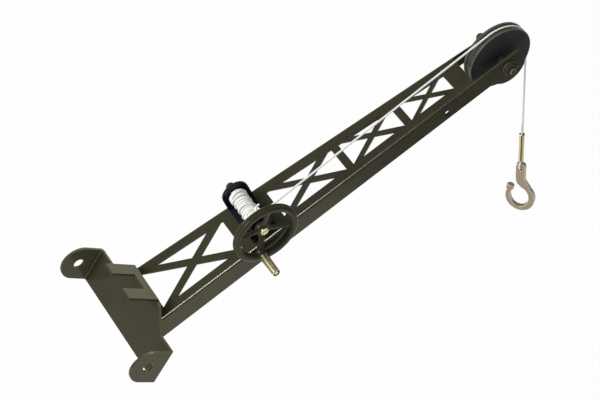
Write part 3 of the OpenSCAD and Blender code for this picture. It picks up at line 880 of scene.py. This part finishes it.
def tied_end():
    """A small loop by the near ear, with the cut end of the string sticking up."""
    centre = Vector((3.4, -8.3, 4.1))
    loop = []
    for i in range(25):
        a = math.radians(-60 + 300 * i / 24)
        up = 0.55 + 0.5 * math.sin(a / 2)
        loop.append(centre + Vector((1.25 * math.cos(a), 1.55 * math.sin(a), up)))
    loop += [Vector((3.2, -7.0, 5.3)), Vector((4.6, -6.4, 5.6)), Vector((6.2, -6.3, 5.5))]
    return at_winch(loop)


winding_mesh = string_mesh("string_winding", [under_layer(), over_turns(), tied_end()])
add_piece("string_winding", winding_mesh, "winch", STRING, ["cord_winding"])

# Floor, light and background

FLOOR_Z = -0.32
FLOOR_HALF = 4.0
PAPER = (1.0, 1.0, 1.0)
PAPER_SHARE = 0.95
CARD = (0.06, 0.06, 0.06)
# Where the card starts and where it is fully dark, along each axis and in metres
CARD_EDGES = {"X": (0.275, 0.335), "Y": (-0.2, -0.25)}
# A lamp of this colour gives the olive enamel a white highlight
COOL = (0.52, 0.54, 1.0)
WORLD_STRENGTH = 0.44


def card_share(n, reflected):
    """Where reflections see a dark card, on the floor beyond the tip, in place of the paper."""
    apart = n.add("ShaderNodeSeparateXYZ")
    n.link(n.where, apart.inputs[0])
    share = reflected
    for side, (start, end) in CARD_EDGES.items():
        within = n.add("ShaderNodeMapRange")
        within.inputs["From Min"].default_value = start
        within.inputs["From Max"].default_value = end
        n.link(apart.outputs[side], within.inputs["Value"])
        share = n.calculate("MULTIPLY", share, within.outputs[0])
    return share


def make_floor():
    """A pale floor. The camera and reflections see it as white paper with a faint shadow."""
    bm = bmesh.new()
    bmesh.ops.create_grid(bm, x_segments=1, y_segments=1, size=FLOOR_HALF)
    bmesh.ops.translate(bm, verts=bm.verts, vec=(0.1, 0, FLOOR_Z))
    mesh = bpy.data.meshes.new("floor")
    bm.to_mesh(mesh)
    bm.free()
    obj = bpy.data.objects.new("floor", mesh)
    bpy.context.scene.collection.objects.link(obj)
    n = Nodes("pale_floor")
    grain = n.ramp(n.noise(9), (0.3, 0.0), (0.7, 1.0))
    n.set(
        Base_Color=n.mix(grain, srgb(250, 250, 250), srgb(254, 254, 254)),
        Roughness=0.8,
        Specular_IOR_Level=0.2,
    )
    path = n.add("ShaderNodeLightPath").outputs
    seen = n.calculate("MAXIMUM", path["Is Camera Ray"], path["Is Glossy Ray"])
    seen = n.calculate("MAXIMUM", seen, path["Is Transmission Ray"])
    glow = n.add("ShaderNodeEmission")
    n.link(n.mix(card_share(n, path["Is Glossy Ray"]), PAPER, CARD), glow.inputs["Color"])
    blend = n.add("ShaderNodeMixShader")
    n.link(n.calculate("MULTIPLY", seen, PAPER_SHARE), blend.inputs[0])
    n.link(n.shader.outputs[0], blend.inputs[1])
    n.link(glow.outputs[0], blend.inputs[2])
    n.link(blend.outputs[0], n.tree.nodes["Material Output"].inputs["Surface"])
    mesh.materials.append(n.material)


def make_light(name, place, aim, size, power, lit=(), shine=None):
    """A rectangular lamp. It lights everything or the lit pieces, and shine makes it a
    coloured lamp that only highlights show."""
    data = bpy.data.lights.new(name, "AREA")
    data.shape = "RECTANGLE"
    data.size, data.size_y = size
    data.energy = power
    obj = bpy.data.objects.new(name, data)
    bpy.context.scene.collection.objects.link(obj)
    obj.location = place
    obj.rotation_euler = (Vector(aim) - Vector(place)).to_track_quat("-Z", "Y").to_euler()
    obj.visible_camera = False
    if shine:
        obj.visible_diffuse = False
        data.color = shine
    if lit:
        group = bpy.data.collections.new(name)
        for piece in lit:
            group.objects.link(piece)
        obj.light_linking.receiver_collection = group


def make_world():
    world = bpy.data.worlds.new("studio")
    world.use_nodes = True
    bpy.context.scene.world = world
    background = world.node_tree.nodes["Background"]
    background.inputs["Color"].default_value = (1, 1, 1, 1)
    background.inputs["Strength"].default_value = WORLD_STRENGTH


make_floor()
make_world()
make_light("key", place=(-0.95, 0.22, 1.0), aim=(0.12, 0, 0), size=(0.5, 0.5), power=16)
make_light(
    "base_side",
    place=(-0.08, -0.2, -0.1),
    aim=(0.03, -0.02, 0.02),
    size=(0.12, 0.12),
    power=0.5,
    lit=[channel, bracket],
)
make_light(
    "lip",
    place=(0.38, 0.1, 0.35),
    aim=(0.015, 0, 0.015),
    size=(0.25, 0.25),
    power=6.5,
    lit=[bracket],
)
make_light(
    "fold",
    place=(-0.02, -0.44, 0.465),
    aim=(0.05, -0.018, 0.02),
    size=(0.2, 0.22),
    power=17,
    lit=[channel],
    shine=COOL,
)
make_light(
    "tip_fold",
    place=(0.14, -0.43, 0.51),
    aim=(0.2, -0.012, 0.05),
    size=(0.2, 0.22),
    power=1.1,
    lit=[channel],
    shine=COOL,
)

bpy.context.scene.view_settings.view_transform = "Standard"
